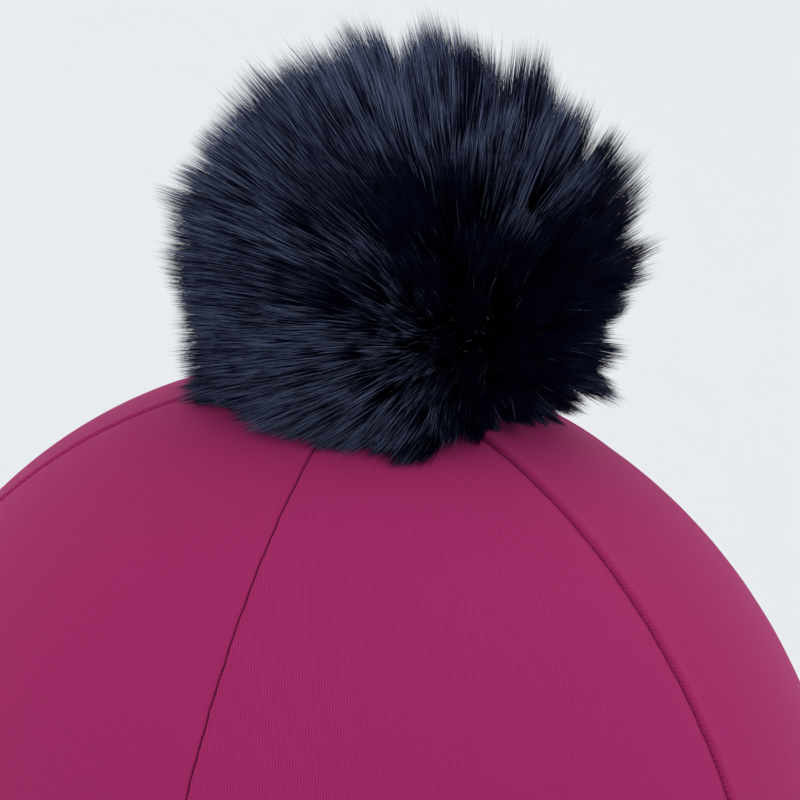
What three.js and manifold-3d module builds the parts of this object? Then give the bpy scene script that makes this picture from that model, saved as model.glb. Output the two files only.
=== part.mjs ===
// A jockey cap: a panelled fabric crown on a hem band, with a short peak and a fur pompom.
// Millimetres, +Z up, the peak towards -Y, standing on its hem at z = 0.
import * as THREE from "three";
import { mergeVertices } from "three/addons/utils/BufferGeometryUtils.js";
import Module from "manifold-3d";

const wasm = await Module();
wasm.setup();

// Crown: half an ellipsoid over a short skirt that the hem draws in
const crownHalfWidth = 108;
const crownHalfLength = 134;
const domeHeight = 110;
const skirtHeight = 36;
const crownWall = 1.4;
const seamsMeetBehindTop = 7;
const topHoleRadius = 4.5;

// Seams between the panels, as angles from the front, the same on both sides
const frontSeamAngle = 27;
const sideSeamAngle = 102;
const backSeamAngle = 152;
const seamGap = 0.3;
const seamRollWidth = 3;
const seamRollDepth = 0.5;

// Hem band
const hemHeight = 16;
const hemThickness = 2.4;
const hemProud = 0.4;
const hemRounding = 0.6;

// Peak
const peakReach = 50;
const peakEndReach = 6;
const peakSpanAngle = 52;
const peakFullness = 0.6;
const peakThickness = 3.2;
const peakRootHeight = 14.2;
const peakArch = 6.5;
const peakSlope = 0.12;

// Covered button that closes the top and carries the pompom
const buttonRadius = 10;
const buttonCap = 2.2;
const buttonWasher = 1.4;
const buttonShankRadius = 3.6;

// Pompom
const pompomHalfWidth = 50;
const pompomHalfDepth = 49;
const pompomHalfHeight = 47;
const pompomSquareness = 2.25;
const pompomRise = 25;
const pompomLean = 5;
const furRootAside = 7;
const furRootForward = 5;
const furRootBelow = 14;
const backingShare = 0.8;
const lockRadius = 7;
const lockCount = 120;
const lockRootShare = 0.62;
const lockBendShare = 0.06;
const fringeCount = 24;
const fringeShare = 0.94;
const fringeRise = 5;

// What pieces keep clear of each other
const clearance = 0.3;

// How the skirt falls from the widest ring to the hem, and is drawn in
const skirtRows = [
  { fall: 0.4, draw: 0.997 },
  { fall: 0.75, draw: 0.987 },
  { fall: 1, draw: 0.974 },
];

// Across a peak, from its root to its rim
const peakRows = [
  { out: 0, thickness: 1 },
  { out: 0.3, thickness: 1 },
  { out: 0.62, thickness: 1 },
  { out: 0.92, thickness: 0.9 },
  { out: 1, thickness: 0.45 },
];

// Along a lock of fur, from inside the pompom's body to its tip
const lockRows = [
  { along: 0, width: 0.85, bend: 0 },
  { along: 0.55, width: 1, bend: 0.25 },
];

// The partings and tufts that break the pompom's outline, by direction from its root
const furForms = [
  { side: -1.0, back: -0.2, up: 0.12, width: 0.16, growth: -0.09 },
  { side: -0.12, back: 0.3, up: 1.0, width: 0.13, growth: -0.08 },
  { side: 0.9, back: -0.1, up: 0.42, width: 0.12, growth: -0.12 },
  { side: 1.0, back: -0.2, up: 0.22, width: 0.14, growth: 0.08 },
  { side: 1.0, back: -0.2, up: 0.0, width: 0.1, growth: -0.1 },
  { side: 0.75, back: -0.5, up: -0.1, width: 0.16, growth: 0.1 },
];

const hemDraw = skirtRows[skirtRows.length - 1].draw;
const frontReach = crownHalfLength * hemDraw + hemProud + clearance + peakReach;
const crownCentreY = (frontReach - crownHalfLength) / 2;
const radians = THREE.MathUtils.degToRad;

const magentaKnit = { color: 0x9e2f63, roughness: 0.72, metalness: 0 };
const navyFur = { color: 0x14182b, roughness: 0.9, metalness: 0 };

const group = new THREE.Group();
const crown = new THREE.Group();
crown.position.set(0, crownCentreY, skirtHeight);
group.add(crown);

function addPiece(name, geometry, look) {
  const mesh = new THREE.Mesh(geometry, new THREE.MeshStandardMaterial(look));
  mesh.name = name;
  crown.add(mesh);
  return mesh;
}

// A mesh from points and triangles, turned so that its faces point out
function closedGeometry(points, triangles) {
  const geometry = new THREE.BufferGeometry();
  geometry.setAttribute("position", new THREE.Float32BufferAttribute(points.flatMap((p) => p.toArray()), 3));
  let volume = 0;
  for (const [a, b, c] of triangles) {
    volume += points[a].dot(points[b].clone().cross(points[c]));
  }
  const facing = volume < 0 ? triangles.map(([a, b, c]) => [a, c, b]) : triangles;
  geometry.setIndex(facing.flat());
  geometry.computeVertexNormals();
  return geometry;
}

// A thin form through a row of loops. Each loop runs along one face and back along the other.
function loftLoops(loops, joinsItself) {
  const size = loops[0].length;
  const points = loops.flat();
  const triangles = [];
  const spans = joinsItself ? loops.length : loops.length - 1;
  for (let i = 0; i < spans; i += 1) {
    const next = (i + 1) % loops.length;
    for (let j = 0; j < size; j += 1) {
      const a = i * size + j;
      const b = i * size + ((j + 1) % size);
      const c = next * size + j;
      const d = next * size + ((j + 1) % size);
      triangles.push([a, b, c], [b, d, c]);
    }
  }
  if (!joinsItself) {
    const last = (loops.length - 1) * size;
    for (let j = 0; j < size / 2 - 1; j += 1) {
      const across = size - 1 - j;
      triangles.push([j, across, j + 1], [j + 1, across, across - 1]);
      triangles.push([last + j, last + j + 1, last + across], [last + j + 1, last + across - 1, last + across]);
    }
  }
  return closedGeometry(points, triangles);
}

// Distance from the point where the seams meet to the crown's plan outline, along a plan direction
function planReach(angle, inset) {
  const halfWidth = crownHalfWidth - inset;
  const halfLength = crownHalfLength - inset;
  const dx = Math.sin(angle) / halfWidth;
  const dy = -Math.cos(angle) / halfLength;
  const y0 = seamsMeetBehindTop / halfLength;
  const a = dx * dx + dy * dy;
  const b = dy * y0;
  return (-b + Math.sqrt(b * b - a * (y0 * y0 - 1))) / a;
}

// The dome's height over a plan point, for a surface that lies inset below the outer one
function domeAt(x, y, inset) {
  const share = (x / (crownHalfWidth - inset)) ** 2 + (y / (crownHalfLength - inset)) ** 2;
  return (domeHeight - inset) * Math.sqrt(Math.max(0, 1 - share));
}

// A point of the dome at a distance along a plan direction
function domePoint(angle, distance, inset) {
  const x = Math.sin(angle) * distance;
  const y = seamsMeetBehindTop - Math.cos(angle) * distance;
  return new THREE.Vector3(x, y, domeAt(x, y, inset));
}

// A point of the skirt under the widest ring, drawn in as it falls
function skirtPoint(angle, row, inset) {
  const reach = planReach(angle, inset);
  const x = Math.sin(angle) * reach * row.draw;
  const y = (seamsMeetBehindTop - Math.cos(angle) * reach) * row.draw;
  const height = skirtHeight - hemHeight - clearance;
  return new THREE.Vector3(x, y, -row.fall * height);
}

// One panel between two seams, from the hole at the top to the hem
function panelGeometry(from, to) {
  const inner = Math.max(4, Math.round((to - from) / radians(9)));
  const domeRows = 11;
  const startTurn = Math.asin(topHoleRadius / crownHalfLength);
  const columnsAt = (distanceFrom, distanceTo) => {
    const gapFrom = Math.asin(seamGap / 2 / distanceFrom);
    const gapTo = Math.asin(seamGap / 2 / distanceTo);
    const most = (to - from) * 0.2;
    const rollFrom = Math.min(seamRollWidth / distanceFrom, most);
    const rollTo = Math.min(seamRollWidth / distanceTo, most);
    const first = from + gapFrom + rollFrom;
    const last = to - gapTo - rollTo;
    const middle = Array.from({ length: inner + 1 }, (_, k) => first + ((last - first) * k) / inner);
    return [from + gapFrom, ...middle, to - gapTo];
  };
  const loopOf = (angles, place) => {
    const edge = angles.length - 1;
    const outside = angles.map((angle, k) => place(angle, k === 0 || k === edge ? seamRollDepth : 0));
    const inside = angles.map((angle) => place(angle, crownWall));
    return [...outside, ...inside.reverse()];
  };
  const loops = [];
  for (let i = 0; i <= domeRows; i += 1) {
    const share = Math.sin(startTurn + ((Math.PI / 2 - startTurn) * i) / domeRows);
    const distance = (angle, inset) => (i === 0 ? topHoleRadius : share * planReach(angle, inset));
    const angles = columnsAt(distance(from, 0), distance(to, 0));
    loops.push(loopOf(angles, (angle, inset) => domePoint(angle, distance(angle, inset), inset)));
  }
  const ringAngles = columnsAt(planReach(from, 0), planReach(to, 0));
  for (const row of skirtRows) {
    loops.push(loopOf(ringAngles, (angle, inset) => skirtPoint(angle, row, inset)));
  }
  return loftLoops(loops, false);
}

// Left and right are the wearer's: the left side is towards +X
const panels = [
  { name: "panel_front", from: -frontSeamAngle, to: frontSeamAngle },
  { name: "panel_side_left", from: frontSeamAngle, to: sideSeamAngle },
  { name: "panel_rear_left", from: sideSeamAngle, to: backSeamAngle },
  { name: "panel_back", from: backSeamAngle, to: 360 - backSeamAngle },
  { name: "panel_rear_right", from: -backSeamAngle, to: -sideSeamAngle },
  { name: "panel_side_right", from: -sideSeamAngle, to: -frontSeamAngle },
];
for (const { name, from, to } of panels) {
  addPiece(name, panelGeometry(radians(from), radians(to)), magentaKnit);
}

// A point of the hem's outer outline pushed outwards, by its angle round the crown's centre
function hemPoint(angle, outwards, height) {
  const halfWidth = crownHalfWidth * hemDraw + hemProud + outwards;
  const halfLength = crownHalfLength * hemDraw + hemProud + outwards;
  return new THREE.Vector3(Math.sin(angle) * halfWidth, -Math.cos(angle) * halfLength, height - skirtHeight);
}

function hemGeometry() {
  const steps = 56;
  const loops = [];
  for (let i = 0; i < steps; i += 1) {
    const angle = (i / steps) * Math.PI * 2;
    const outside = [
      hemPoint(angle, -hemRounding, 0),
      hemPoint(angle, 0, hemRounding * 2),
      hemPoint(angle, 0, hemHeight - hemRounding * 2),
      hemPoint(angle, -hemRounding, hemHeight),
    ];
    const inside = [hemPoint(angle, -hemThickness, hemHeight), hemPoint(angle, -hemThickness, 0)];
    loops.push([...outside, ...inside]);
  }
  return loftLoops(loops, true);
}
addPiece("hem_band", hemGeometry(), magentaKnit);

// The peak, a crescent whose root follows the hem and whose rim runs forward
function peakGeometry() {
  const steps = 24;
  const loops = [];
  for (let i = 0; i <= steps; i += 1) {
    const across = (i / steps) * 2 - 1;
    const angle = across * radians(peakSpanAngle);
    const reach = peakEndReach + (peakReach - peakEndReach) * (1 - across * across) ** peakFullness;
    const root = hemPoint(angle, clearance, peakRootHeight - peakArch * across * across);
    const rise = ({ out }) => new THREE.Vector3(0, -reach * out, -peakSlope * reach * out).add(root);
    const top = peakRows.map(rise);
    const under = peakRows.map((row) => rise(row).sub(new THREE.Vector3(0, 0, peakThickness * row.thickness)));
    loops.push([...top, ...under.reverse()]);
  }
  return loftLoops(loops, false);
}
addPiece("peak", peakGeometry(), magentaKnit);

// The button: a cap above the panels, a shank through the hole and a washer below
const seamsMeetHeight = domeAt(0, seamsMeetBehindTop, 0);
const topTilt = -Math.atan((domeHeight * seamsMeetBehindTop) / (crownHalfLength ** 2));
const washerSag = (domeHeight * buttonRadius ** 2) / (2 * crownHalfWidth ** 2);

function buttonGeometry() {
  const capUnder = clearance;
  const washerTop = -(crownWall + washerSag + clearance);
  const profile = [
    new THREE.Vector2(0, capUnder + buttonCap),
    new THREE.Vector2(buttonRadius * 0.7, capUnder + buttonCap * 0.8),
    new THREE.Vector2(buttonRadius, capUnder + buttonCap * 0.3),
    new THREE.Vector2(buttonRadius * 0.96, capUnder),
    new THREE.Vector2(buttonShankRadius, capUnder),
    new THREE.Vector2(buttonShankRadius, washerTop),
    new THREE.Vector2(buttonRadius, washerTop),
    new THREE.Vector2(buttonRadius, washerTop - buttonWasher),
    new THREE.Vector2(0, washerTop - buttonWasher),
  ];
  const turned = new THREE.LatheGeometry(profile, 20);
  turned.rotateX(Math.PI / 2);
  turned.rotateX(topTilt);
  turned.translate(0, seamsMeetBehindTop, seamsMeetHeight);
  return weld(turned);
}

// The same surface with shared corners and no empty triangles
function weld(geometry) {
  const bare = geometry.clone();
  bare.deleteAttribute("normal");
  bare.deleteAttribute("uv");
  const merged = mergeVertices(bare, 1e-4);
  const index = merged.getIndex().array;
  const corner = (k) => new THREE.Vector3().fromBufferAttribute(merged.getAttribute("position"), k);
  const points = Array.from({ length: merged.getAttribute("position").count }, (_, k) => corner(k));
  const triangles = [];
  for (let k = 0; k < index.length; k += 3) {
    const [a, b, c] = [index[k], index[k + 1], index[k + 2]];
    if (a !== b && b !== c && c !== a) {
      triangles.push([a, b, c]);
    }
  }
  return closedGeometry(points, triangles);
}
addPiece("crown_button", buttonGeometry(), magentaKnit);

function solidOf(geometry) {
  const vertProperties = Float32Array.from(geometry.getAttribute("position").array);
  const triVerts = Uint32Array.from(geometry.getIndex().array);
  return new wasm.Manifold(new wasm.Mesh({ numProp: 3, vertProperties, triVerts }));
}

function geometryOf(solid) {
  const mesh = solid.getMesh();
  const geometry = new THREE.BufferGeometry();
  geometry.setAttribute("position", new THREE.BufferAttribute(Float32Array.from(mesh.vertProperties), 3));
  geometry.setIndex(new THREE.BufferAttribute(Uint32Array.from(mesh.triVerts), 1));
  geometry.computeVertexNormals();
  return geometry;
}

// A repeatable number from 0 to 1 for each whole number and kind
function chance(k, kind) {
  const value = Math.sin(k * 12.9898 + kind * 78.233) * 43758.5453;
  return value - Math.floor(value);
}

const pompomCentre = new THREE.Vector3(pompomLean, seamsMeetBehindTop, domeHeight + pompomRise);
const furRoot = pompomCentre.clone().add(new THREE.Vector3(furRootAside, -furRootForward, -furRootBelow));

// How much a parting or tuft lengthens or shortens the fur in a direction
function formGrowth(direction) {
  let growth = 0;
  for (const { side, back, up, width, growth: amount } of furForms) {
    const centre = new THREE.Vector3(side, back, up).normalize();
    growth += amount * Math.exp(-((1 - direction.dot(centre)) / (width * width)));
  }
  return 1 + growth;
}

// Distance from the fur's root to the pompom's outer form, by halving
function furReach(direction) {
  let near = 0;
  let far = 2 * (pompomHalfWidth + pompomHalfHeight);
  for (let k = 0; k < 30; k += 1) {
    const middle = (near + far) / 2;
    const p = furRoot.clone().addScaledVector(direction, middle).sub(pompomCentre);
    const plan = (p.x / pompomHalfWidth) ** 2 + (p.y / pompomHalfDepth) ** 2;
    const share = plan ** (pompomSquareness / 2) + Math.abs(p.z / pompomHalfHeight) ** pompomSquareness;
    near = share < 1 ? middle : near;
    far = share < 1 ? far : middle;
  }
  return near * formGrowth(direction);
}

// The backing that the locks are fused to, a smaller copy of the outer form
function backingGeometry() {
  const meridians = 18;
  const parallels = 12;
  const ball = weld(new THREE.SphereGeometry(1, meridians, parallels).rotateX(Math.PI / 2));
  const position = ball.getAttribute("position");
  for (let k = 0; k < position.count; k += 1) {
    const direction = new THREE.Vector3().fromBufferAttribute(position, k).normalize();
    const point = furRoot.clone().addScaledVector(direction, furReach(direction) * backingShare);
    position.setXYZ(k, point.x, point.y, point.z);
  }
  return ball;
}

// One lock, a five-sided taper along a bent line from its root to its tip
function lockGeometry(root, tip, bend, radius) {
  const sides = 5;
  const along = tip.clone().sub(root).normalize();
  const across = new THREE.Vector3(0, 0, 1).cross(along);
  if (across.length() < 0.2) {
    across.set(1, 0, 0);
  }
  across.normalize();
  const over = along.clone().cross(across);
  const points = [];
  for (const row of lockRows) {
    const centre = root.clone().lerp(tip, row.along).addScaledVector(bend, row.bend);
    for (let k = 0; k < sides; k += 1) {
      const turn = (k / sides) * Math.PI * 2;
      const ring = across.clone().multiplyScalar(Math.cos(turn)).addScaledVector(over, Math.sin(turn));
      points.push(centre.clone().addScaledVector(ring, radius * row.width));
    }
  }
  points.push(tip.clone().add(bend));
  const triangles = [[0, 1, 2], [0, 2, 3], [0, 3, 4]];
  for (let i = 0; i < lockRows.length - 1; i += 1) {
    for (let k = 0; k < sides; k += 1) {
      const a = i * sides + k;
      const b = i * sides + ((k + 1) % sides);
      triangles.push([a, a + sides, b], [b, a + sides, b + sides]);
    }
  }
  const ring = (lockRows.length - 1) * sides;
  for (let k = 0; k < sides; k += 1) {
    triangles.push([ring + k, points.length - 1, ring + ((k + 1) % sides)]);
  }
  return closedGeometry(points, triangles);
}

// Locks that stand out of the backing on every side, spread evenly by the golden angle
function standingLocks() {
  const locks = [];
  const golden = Math.PI * (3 - Math.sqrt(5));
  const scatter = 0.12;
  const lowest = -0.5;
  for (let k = 0; k < lockCount; k += 1) {
    const up = 1 - ((1 - lowest) * (k + 0.5)) / lockCount;
    const flat = Math.sqrt(1 - up * up);
    const turn = k * golden;
    const direction = new THREE.Vector3(Math.cos(turn) * flat, Math.sin(turn) * flat, up);
    direction.x += (chance(k, 1) - 0.5) * scatter;
    direction.y += (chance(k, 2) - 0.5) * scatter;
    direction.normalize();
    const reach = furReach(direction);
    const tip = furRoot.clone().addScaledVector(direction, reach * (0.97 + 0.06 * chance(k, 3)));
    const root = furRoot.clone().addScaledVector(direction, reach * lockRootShare);
    const bend = new THREE.Vector3(chance(k, 4) - 0.5, chance(k, 5) - 0.5, chance(k, 6) - 0.8);
    bend.multiplyScalar(reach * lockBendShare);
    if (tip.z + bend.z > domeAt(tip.x, tip.y, 0) + lockRadius) {
      locks.push(lockGeometry(root, tip, bend, lockRadius * (0.85 + 0.3 * chance(k, 7))));
    }
  }
  return locks;
}

// Locks that lie out over the crown round the pompom's foot
function fringeLocks() {
  const locks = [];
  for (let k = 0; k < fringeCount; k += 1) {
    const angle = ((k + 0.5 * chance(k, 8)) / fringeCount) * Math.PI * 2;
    const spread = pompomHalfWidth * fringeShare * (0.94 + 0.12 * chance(k, 9));
    const tip = domePoint(angle, spread, 0);
    tip.x += pompomLean;
    tip.z = domeAt(tip.x, tip.y, -clearance) + crownWall;
    const root = furRoot.clone().lerp(tip, 0.35);
    root.z += fringeRise;
    const bend = new THREE.Vector3(0, 0, 0.5);
    locks.push(lockGeometry(root, tip, bend, lockRadius * 1.25));
  }
  return locks;
}

// What the pompom must stay clear of: the crown's dome and the button's cap
function domeGeometry() {
  const meridians = 48;
  const parallels = 36;
  const away = clearance * 2;
  const ball = weld(new THREE.SphereGeometry(1, meridians, parallels).rotateX(Math.PI / 2));
  ball.scale(crownHalfWidth + away, crownHalfLength + away, domeHeight + away);
  return ball;
}

function buttonPocketGeometry() {
  const depth = clearance * 2 + buttonCap;
  const pocket = new THREE.CylinderGeometry(buttonRadius + clearance, buttonRadius + clearance, depth * 2, 20);
  pocket.rotateX(Math.PI / 2);
  pocket.rotateX(topTilt);
  pocket.translate(0, seamsMeetBehindTop, seamsMeetHeight);
  return weld(pocket);
}

function pompomGeometry() {
  const pieces = [backingGeometry(), ...standingLocks(), ...fringeLocks()];
  const fused = wasm.Manifold.union(pieces.map(solidOf));
  const clear = fused.subtract(solidOf(domeGeometry())).subtract(solidOf(buttonPocketGeometry()));
  const bodies = clear.decompose();
  bodies.sort((a, b) => b.volume() - a.volume());
  return geometryOf(bodies[0]);
}
addPiece("pompom", pompomGeometry(), navyFur);

export default group;
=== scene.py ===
import math

import bmesh
import bpy
import numpy as np
from bpy.props import FloatProperty, FloatVectorProperty, IntProperty, PointerProperty
from mathutils import Matrix, Vector


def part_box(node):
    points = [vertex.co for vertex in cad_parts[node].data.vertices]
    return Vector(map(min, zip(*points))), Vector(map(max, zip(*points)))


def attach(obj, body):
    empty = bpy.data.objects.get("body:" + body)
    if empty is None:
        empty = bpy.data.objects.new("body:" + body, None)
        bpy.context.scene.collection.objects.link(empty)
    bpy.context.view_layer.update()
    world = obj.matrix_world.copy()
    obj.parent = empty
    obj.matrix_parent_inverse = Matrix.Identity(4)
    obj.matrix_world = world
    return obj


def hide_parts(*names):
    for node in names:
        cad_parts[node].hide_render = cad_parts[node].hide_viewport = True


bl_info = {
    "name": "Jockey cap",
    "version": (1, 0, 0),
    "blender": (4, 5, 0),
    "location": "3D View > Sidebar > Jockey cap",
    "description": "Builds a panelled knit cap with a peak and a fur pompom round its packed model",
    "category": "Add Mesh",
}

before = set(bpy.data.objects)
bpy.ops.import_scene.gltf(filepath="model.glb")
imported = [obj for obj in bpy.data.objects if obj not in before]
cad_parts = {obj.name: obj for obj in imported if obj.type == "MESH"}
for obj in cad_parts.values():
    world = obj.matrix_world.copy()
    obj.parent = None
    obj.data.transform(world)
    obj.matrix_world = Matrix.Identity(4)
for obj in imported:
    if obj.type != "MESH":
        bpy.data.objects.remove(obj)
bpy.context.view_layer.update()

BODY = "root"
MM = 0.001

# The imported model's box and some corners of its pieces, in metres, and the gap between its pieces
FRONT_LOW, FRONT_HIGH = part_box("panel_front")
HEM_LOW, HEM_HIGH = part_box("hem_band")
BACK_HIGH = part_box("panel_back")[1]
SIDE_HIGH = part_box("panel_side_left")[1]
PIECE_GAP = 0.3 * MM

# The crown's seams by their angle from the front, towards the wearer's left. Each has the radius of the
# edge rolled before and after it, and how far the knit stands proud there, in millimetres
SEAMS = {
    27: {"before": (0.4, -0.3), "after": (1.8, 0.8)},
    102: {"before": (0.6, -0.1), "after": (1.5, 0.5)},
    152: {"before": (0.6, 0.0), "after": (0.6, 0.05)},
    208: {"before": (0.6, 0.05), "after": (0.6, 0.0)},
    258: {"before": (1.5, 0.5), "after": (0.6, -0.1)},
    333: {"before": (0.65, 0.1), "after": (0.5, -0.1)},
}

# Panels by name: their two seams, and how far the knit's ribs turn from the panel's centre line
PANELS = [
    {"node": "panel_front", "seams": (333, 27), "grain_turn": -7},
    {"node": "panel_side_left", "seams": (27, 102), "grain_turn": 4},
    {"node": "panel_rear_left", "seams": (102, 152), "grain_turn": 0},
    {"node": "panel_back", "seams": (152, 208), "grain_turn": 0},
    {"node": "panel_rear_right", "seams": (208, 258), "grain_turn": 0},
    {"node": "panel_side_right", "seams": (258, 333), "grain_turn": -3},
]

# Partings, hollows and tufts of the pompom, by their direction from the fur's root: to the wearer's left,
# back and up. Each has a width in radians, how much more or less the fur grows there, how far the hairs
# part from its middle, how much paler or darker its hairs are painted, as painted highlights where the
# light falls and painted shade in the hollows and on the shaded side, and how far their tips droop in metres
FORM_COLUMNS = ("side", "back", "up", "width", "growth", "push", "painted_light", "drop")
FORM_ROWS = (
    (-0.966, 0.255, 0.0, 0.12, -0.08, 0.05, 0.0, 0.0),
    (-0.555, 0.356, 0.752, 0.22, -0.05, 0.0, 1.3, 0.0),
    (-0.158, 0.31, 0.937, 0.06, -0.08, 0.07, 0.0, 0.0),
    (0.0, 0.3, 0.95, 0.6, 0.05, 0.0, 0.2, 0.0),
    (0.92, -0.02, 0.4, 0.32, 0.19, 0.0, -0.5, 0.0),
    (-0.85, -0.2, -0.45, 0.3, -0.09, 0.0, 0.0, 0.0),
    (0.4, -0.75, -0.5, 0.28, -0.18, 0.0, 0.0, 0.0),
    (-0.2, -0.85, -0.45, 0.25, 0.15, 0.0, 0.0, 0.0),
    (-0.12, -0.25, 0.96, 0.2, 0.0, 0.0, 3.2, 0.0),
    (-0.444, 0.35, 0.824, 0.07, 0.04, 0.0, 0.0, 0.0),
    (-0.33, 0.34, 0.88, 0.1, 0.035, 0.0, 0.0, 0.0),
    (-0.835, -0.459, 0.303, 0.25, 0.0, 0.0, 1.2, 0.0),
    (-0.098, 0.3, 0.949, 0.08, -0.06, 0.0, 0.0, 0.0),
    (0.76, 0.0, 0.65, 0.11, 0.1, 0.0, 0.0, 0.0),
    (0.6, 0.08, 0.8, 0.12, 0.02, 0.0, 0.0, 0.0),
    (0.25, 0.21, 0.945, 0.16, 0.1, 0.0, 0.0, 0.0),
    (0.947, -0.154, 0.281, 0.12, -0.07, 0.0, 0.0, 0.0),
    (0.905, -0.309, -0.292, 0.12, -0.26, 0.0, 0.0, 0.0),
    (0.94, -0.28, -0.13, 0.12, 0.12, 0.0, 0.0, 0.009),
    (-0.879, 0.321, 0.355, 0.3, 0.0, 0.0, -0.52, 0.0),
    (0.08, 0.26, 0.96, 0.16, 0.08, 0.0, 3.0, 0.0),
    (0.14, -0.9, -0.4, 0.16, -0.15, 0.0, 0.0, 0.0),
    (-0.61, -0.79, -0.12, 0.3, 0.0, 0.0, 4.2, 0.0),
    (0.84, -0.05, 0.54, 0.06, -0.2, 0.08, 0.0, 0.0),
    (0.78, -0.238, 0.579, 0.06, -0.2, 0.06, 0.0, 0.0),
    (0.872, 0.134, 0.471, 0.06, -0.2, 0.06, 0.0, 0.0),
    (0.905, -0.382, 0.162, 0.07, -0.09, 0.05, 0.0, 0.0),
    (0.997, -0.01, 0.054, 0.07, -0.07, 0.05, 0.0, 0.0),
    (0.915, -0.115, 0.386, 0.05, -0.1, 0.07, 0.0, 0.0),
    (0.97, -0.2, 0.11, 0.1, -0.1, 0.06, 0.0, 0.0),
    (0.83, -0.35, -0.42, 0.26, -0.24, 0.04, 0.0, 0.0),
    (0.25, -0.83, 0.45, 0.6, -0.06, 0.07, -1.3, 0.0),
    (0.42, -0.4, 0.81, 0.12, 0.03, 0.1, 3.2, 0.0),
    (0.27, -0.66, 0.7, 0.09, 0.03, 0.05, 3.2, 0.0),
)
FUR_FORMS = [dict(zip(FORM_COLUMNS, row)) for row in FORM_ROWS]


def length_property(name, description, default):
    kind = {"subtype": "DISTANCE", "unit": "LENGTH"}
    return FloatProperty(name=name, description=description, default=default, **kind)


def angle_property(name, description, degrees):
    kind = {"subtype": "ANGLE", "unit": "ROTATION"}
    return FloatProperty(name=name, description=description, default=math.radians(degrees), **kind)


def colour_property(name, description, default):
    kind = {"subtype": "COLOR", "size": 3}
    return FloatVectorProperty(name=name, description=description, default=default, **kind)


class CrownSettings(bpy.types.PropertyGroup):
    """Sizes of the crown, the hem and the peak."""

    half_width: length_property("Half width", "Half the crown's width at its widest ring", SIDE_HIGH.x)
    half_length: length_property("Half length", "Half the crown's length", (BACK_HIGH.y - FRONT_LOW.y) / 2)
    centre_y: length_property("Centre", "The crown's centre along Y", (BACK_HIGH.y + FRONT_LOW.y) / 2)
    top: length_property("Top", "Height of the dome's top", FRONT_HIGH.z)
    ring_height: length_property("Ring height", "Height of the widest ring", 36 * MM)
    wall: length_property("Wall", "Thickness of the stretched knit", 1.4 * MM)
    seams_meet_behind: length_property("Seams meet behind", "How far behind the centre", 7 * MM)
    hole_radius: length_property("Hole radius", "Radius of the hole that the button closes", 4.5 * MM)
    seam_gap: length_property("Seam gap", "Gap between two panels' edges", 0.13 * MM)
    seam_waver: length_property("Seam waver", "How far a sewn seam wavers", 0.07 * MM)
    seam_dip: length_property("Seam dip", "How far the knit dips towards a seam", 0.15 * MM)
    seam_dip_width: length_property("Seam dip width", "How wide that dip is", 2.4 * MM)
    allowance_width: length_property("Allowance width", "Width of the seam allowance inside", 5 * MM)
    allowance_depth: length_property("Allowance depth", "Thickness of the seam allowance inside", 0.7 * MM)
    draw: FloatProperty(name="Draw", description="How far the hem draws the skirt in", default=0.026)
    hem_thickness: length_property("Hem thickness", "Thickness of the folded hem", 2.4 * MM)
    hem_pucker: length_property("Hem pucker", "Depth of the elastic's puckers", 0.14 * MM)
    stitch_length: length_property("Stitch length", "Pitch of the sewn stitches", 2.6 * MM)
    thread_radius: length_property("Thread radius", "Radius of the sewing thread", 0.16 * MM)
    peak_reach: length_property("Peak reach", "How far the peak reaches forward", 50 * MM)
    peak_end_reach: length_property("Peak end reach", "The peak's reach at its two ends", 6 * MM)
    peak_span: angle_property("Peak span", "Half the angle that the peak spans", 52)
    peak_thickness: length_property("Peak thickness", "Thickness of the covered peak", 3.2 * MM)


class PompomSettings(bpy.types.PropertyGroup):
    """Sizes of the pompom and its fur."""

    half_width: length_property("Half width", "Half the pompom's width", 50 * MM)
    half_depth: length_property("Half depth", "Half the pompom's depth", 49 * MM)
    half_height: length_property("Half height", "Half the pompom's height", 47 * MM)
    squareness: FloatProperty(name="Squareness", description="Power of the pompom's outline", default=2.25)
    spill: FloatProperty(name="Spill", description="How far the fur spills over the dome", default=1.5)
    rise: length_property("Rise", "Height of the pompom's centre above the dome's top", 25 * MM)
    lean: length_property("Lean", "How far the pompom leans to the wearer's left", 5 * MM)
    root_aside: length_property("Root aside", "The fur's root beside the centre", 7 * MM)
    root_forward: length_property("Root forward", "The fur's root before the centre", 5 * MM)
    root_below: length_property("Root below", "The fur's root below the centre", 14 * MM)
    hair_radius: length_property("Hair radius", "Scale of the hairs' radii", 0.11 * MM)
    clumps: IntProperty(name="Clumps", description="Number of small clumps", default=1300)
    wisps: IntProperty(name="Wisps", description="Wisps of guard hairs in a clump", default=8)
    locks: IntProperty(name="Locks", description="Number of large locks", default=170)


class CapColours(bpy.types.PropertyGroup):
    """Colours of the cap, as linear values."""

    knit: colour_property("Knit", "The magenta knit", (0.405, 0.027, 0.143))
    thread: colour_property("Thread", "The sewing thread", (0.25, 0.016, 0.085))
    fur_root: colour_property("Fur root", "The fur near the skin", (0.0015, 0.0018, 0.006))
    fur_middle: colour_property("Fur middle", "The fur along its dark hairs", (0.0018, 0.0016, 0.02))
    fur_tip: colour_property("Fur tip", "The fur at its pale tips", (0.2, 0.25, 0.425))
    floor: colour_property("Floor", "The pale floor", (0.85, 0.865, 0.88))


class StageSettings(bpy.types.PropertyGroup):
    """The camera and the light."""

    azimuth: angle_property("Azimuth", "The camera's side of the front", -13.9)
    elevation: angle_property("Elevation", "The camera's height above the horizon", 15.75)
    roll: angle_property("Roll", "How far the picture is turned", 4.85)
    distance: length_property("Distance", "From the camera to the dome's top", 0.57)
    seen_width: length_property("Seen width", "Width of the view at the dome's top", 0.1685)
    top_aside: length_property("Top aside", "The dome's top left of the picture's middle", 4.7 * MM)
    top_above: length_property("Top above", "The dome's top above the picture's middle", 3.3 * MM)


# Meshes

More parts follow.
